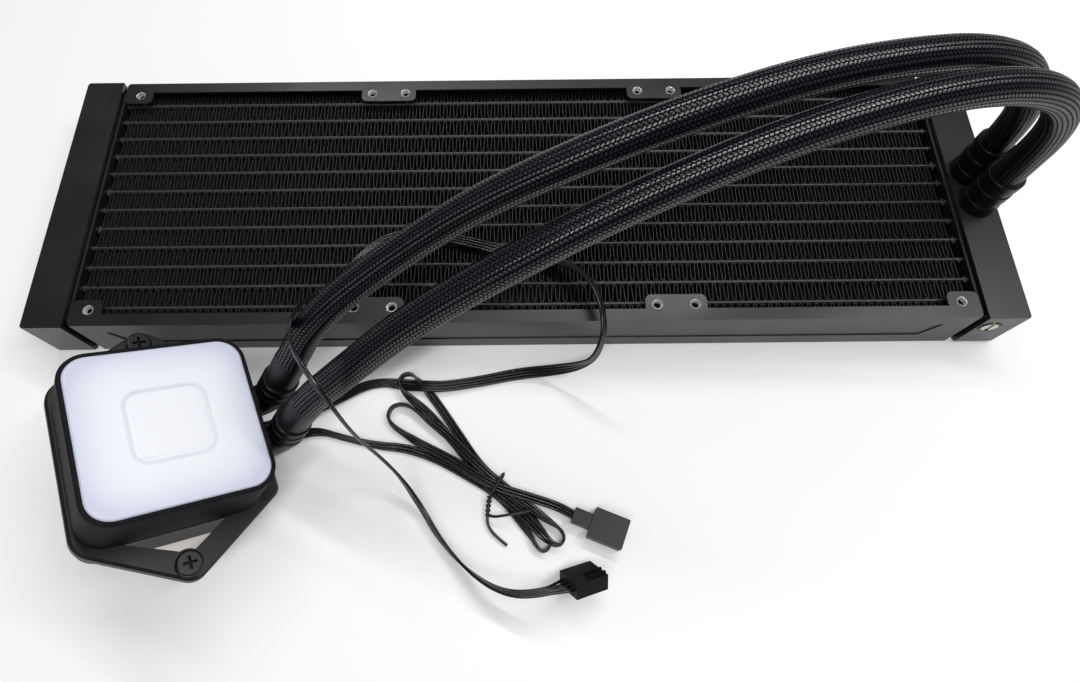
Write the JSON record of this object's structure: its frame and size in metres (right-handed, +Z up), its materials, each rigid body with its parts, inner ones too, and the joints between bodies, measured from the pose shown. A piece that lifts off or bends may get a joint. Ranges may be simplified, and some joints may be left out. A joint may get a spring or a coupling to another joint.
{
  "type": "all in one liquid cooler",
  "caption": "Liquid cooler for a processor: flat finned radiator, sleeved hoses and a square pump head with a lit cap, bracket and cables.",
  "frame": {"origin": "middle of the radiator's underside", "axes": "+X along the radiator to the tank that carries the hoses, +Y from the pump head's side to the far side, +Z up out of the radiator's top"},
  "size_m": [0.397, 0.2198, 0.1327],
  "materials": {
    "radiator_paint": "satin",
    "core_paint": "matte",
    "plug_metal": "satin",
    "seal_rubber": "matte",
    "fitting_metal": "satin",
    "sleeve_black": "matte",
    "elbow_plastic": "satin",
    "shroud_plastic": "satin",
    "block_plastic": "satin",
    "cap_white": "satin",
    "bracket_paint": "satin",
    "screw_steel": "satin",
    "copper": "satin",
    "board_green": "satin",
    "lamp_white": "satin",
    "stator_steel": "satin",
    "magnet_grey": "matte",
    "shaft_ceramic": "polished",
    "impeller_plastic": "satin",
    "bushing_carbon": "satin",
    "cable_black": "satin",
    "connector_black": "satin",
    "contact_tin": "satin"
  },
  "bodies": {
    "cooler": {"left_tank": "radiator_paint", "right_tank": "radiator_paint", "left_header": "radiator_paint", "right_header": "radiator_paint", "front_rail": "radiator_paint", "rear_rail": "radiator_paint", "flat_tubes": "core_paint", "fin_strips": "core_paint", "fill_plug": "plug_metal", "plug_seal": "seal_rubber", "port_seals": "seal_rubber", "base_gasket": "seal_rubber", "cable_grommet": "seal_rubber", "front_radiator_fitting": "fitting_metal", "rear_radiator_fitting": "fitting_metal", "front_radiator_ferrule": "fitting_metal", "rear_radiator_ferrule": "fitting_metal", "front_pump_ferrule": "fitting_metal", "rear_pump_ferrule": "fitting_metal", "front_hose": "sleeve_black", "rear_hose": "sleeve_black", "front_elbow": "elbow_plastic", "rear_elbow": "elbow_plastic", "pump_shroud": "shroud_plastic", "pump_block": "block_plastic", "channel_plate": "block_plastic", "light_cap": "cap_white", "mounting_bracket": "bracket_paint", "plate_screws": "screw_steel", "screw_retainers": "screw_steel", "cold_plate": "copper", "stator_coils": "copper", "control_board": "board_green", "light_diodes": "lamp_white", "stator_core": "stator_steel", "rotor_shaft": "shaft_ceramic", "pump_cable": "cable_black", "light_cable": "cable_black", "light_cable_tail": "cable_black", "light_cable_hank": "cable_black", "twist_tie": "cable_black", "light_plug": "connector_black", "power_plug": "connector_black", "power_contacts": "contact_tin"},
    "rotor": {"impeller": "impeller_plastic", "rotor_magnet": "magnet_grey", "upper_bushing": "bushing_carbon", "lower_bushing": "bushing_carbon"},
    "front_screw": {"front_mounting_screw": "screw_steel"},
    "rear_screw": {"rear_mounting_screw": "screw_steel"}
  },
  "joints": [
    {"name": "impeller_spin", "type": "hinge", "parent": "cooler", "child": "rotor", "pos_m": [-0.1289, -0.10843, 0.03619], "axis": [0.5002, 0.2267, 0.8357], "continuous": true},
    {"name": "front_screw_turn", "type": "hinge", "parent": "cooler", "child": "front_screw", "pos_m": [-0.11283, -0.14759, 0.03467], "axis": [0.5002, 0.2267, 0.8357], "continuous": true},
    {"name": "rear_screw_turn", "type": "hinge", "parent": "cooler", "child": "rear_screw", "pos_m": [-0.146, -0.06978, 0.03342], "axis": [0.5002, 0.2267, 0.8357], "continuous": true}
  ]
}
